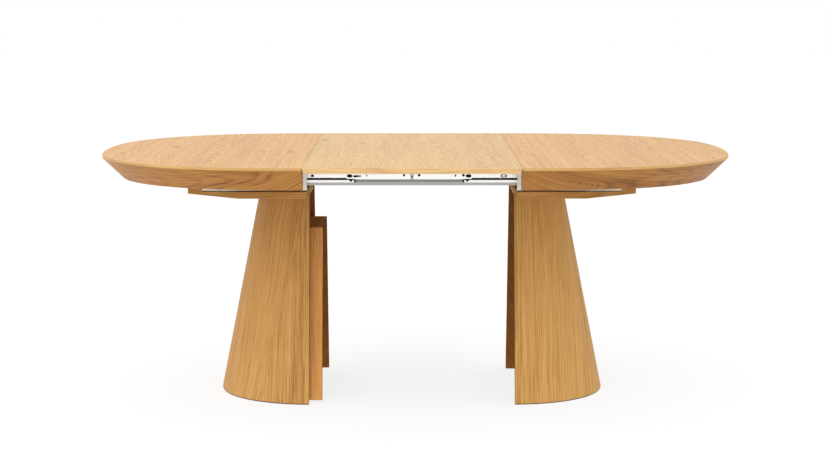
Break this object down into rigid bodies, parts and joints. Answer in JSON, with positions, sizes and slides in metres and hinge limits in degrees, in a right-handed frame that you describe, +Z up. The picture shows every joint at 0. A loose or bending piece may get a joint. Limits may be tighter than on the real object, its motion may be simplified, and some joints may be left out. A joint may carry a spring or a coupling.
{
  "type": "extending pedestal table",
  "caption": "Rounded oak table on a split conical pedestal; the halves part on synchronised telescopic rails to take a loose leaf.",
  "frame": {"origin": "on the floor under the middle of the leaf", "axes": "+X along the pull of the halves, +Y towards the rear, +Z up"},
  "size_m": [1.9014, 1.3, 0.745],
  "materials": {
    "oak_top": "natural oak veneer, matt lacquer",
    "oak_leaf": "natural oak veneer, matt lacquer",
    "oak_edge": "oak veneer on the bevel, matt lacquer",
    "oak_board": "oak veneer, matt lacquer",
    "oak_pedestal": "oak veneer over bent plywood, matt lacquer",
    "plywood": "birch plywood, raw",
    "beech": "turned beech",
    "aluminium": "mill finish extrusion",
    "white_steel": "white powder coat",
    "bright_steel": "drawn bright steel",
    "steel": "zinc plated",
    "black_plastic": "moulded",
    "nylon": "moulded nylon",
    "felt_plastic": "moulded",
    "rubber": "soft"
  },
  "bodies": {
    "centre_frame": {"centre_rail_front": "aluminium", "centre_rail_rear": "aluminium", "leaf_carrier_front": "white_steel", "leaf_carrier_rear": "white_steel", "cross_ties": "steel", "pinion_plate": "steel", "pinion_axle": "steel", "rack_guides": "nylon", "stop_buttons": "black_plastic", "lever_rivet": "steel", "carrier_rivets": "steel"},
    "left_half": {"left_top_board": "oak_top", "left_apron": "oak_edge", "left_joint_plates": "aluminium", "left_joint_stiffener": "aluminium", "left_support_board": "oak_board", "left_pedestal_shell": "oak_pedestal", "left_foot_former": "plywood", "left_mid_former": "plywood", "left_head_former": "plywood", "left_glides": "felt_plastic", "left_outer_rail_front": "aluminium", "left_outer_rail_rear": "aluminium", "left_sync_rack": "steel", "left_rack_bracket": "black_plastic", "left_rail_screws": "steel", "left_top_screws": "steel", "left_pedestal_bolts": "steel", "left_rail_packers": "rubber", "left_guide_shell": "oak_pedestal", "left_guide_spacers": "plywood"},
    "right_half": {"right_top_board": "oak_top", "right_apron": "oak_edge", "right_joint_plates": "aluminium", "right_joint_stiffener": "aluminium", "right_support_board": "oak_board", "right_pedestal_shell": "oak_pedestal", "right_foot_former": "plywood", "right_mid_former": "plywood", "right_head_former": "plywood", "right_glides": "felt_plastic", "right_outer_rail_front": "aluminium", "right_outer_rail_rear": "aluminium", "right_sync_rack": "steel", "right_rack_bracket": "black_plastic", "right_rail_screws": "steel", "right_top_screws": "steel", "right_pedestal_bolts": "steel", "right_rail_packers": "rubber"},
    "left_slides": {"left_slide_bar_front": "bright_steel", "left_slide_bar_rear": "bright_steel", "left_slide_caps": "black_plastic"},
    "right_slides": {"right_slide_bar_front": "bright_steel", "right_slide_bar_rear": "bright_steel", "right_slide_caps": "black_plastic"},
    "pinion": {"sync_pinion": "steel"},
    "leaf": {"leaf_board": "oak_leaf", "leaf_pins": "beech", "leaf_pads": "rubber"},
    "lock": {"lock_lever": "black_plastic"}
  },
  "joints": [
    {"name": "left_pull", "type": "slide", "parent": "centre_frame", "child": "left_half", "axis": [1, 0, 0], "range_m": [0, 0.305]},
    {"name": "right_pull", "type": "slide", "parent": "centre_frame", "child": "right_half", "axis": [-1, 0, 0], "range_m": [0, 0.305]},
    {"name": "left_slides_run", "type": "slide", "parent": "centre_frame", "child": "left_slides", "axis": [1, 0, 0], "range_m": [0, 0.1525]},
    {"name": "right_slides_run", "type": "slide", "parent": "centre_frame", "child": "right_slides", "axis": [-1, 0, 0], "range_m": [0, 0.1525]},
    {"name": "pinion_spin", "type": "hinge", "parent": "centre_frame", "child": "pinion", "pos_m": [0, 0, 0.706], "axis": [0, 0, -1], "range_deg": [0, 873.8]},
    {"name": "leaf_lift", "type": "slide", "parent": "centre_frame", "child": "leaf", "axis": [0, 0, 1], "range_m": [0, 0.7625]},
    {"name": "lock_flip", "type": "hinge", "parent": "centre_frame", "child": "lock", "pos_m": [-0.181, -0.3225, 0.6915], "axis": [0, -1, 0], "range_deg": [0, 35]}
  ],
  "couplings": [
    {"joint": "right_pull", "follows": "left_pull", "ratio": 1},
    {"joint": "left_slides_run", "follows": "left_pull", "ratio": 0.5},
    {"joint": "right_slides_run", "follows": "left_pull", "ratio": 0.5},
    {"joint": "pinion_spin", "follows": "left_pull", "rad_per_m": 50},
    {"joint": "leaf_lift", "follows": "left_pull", "ratio": 2.5}
  ]
}
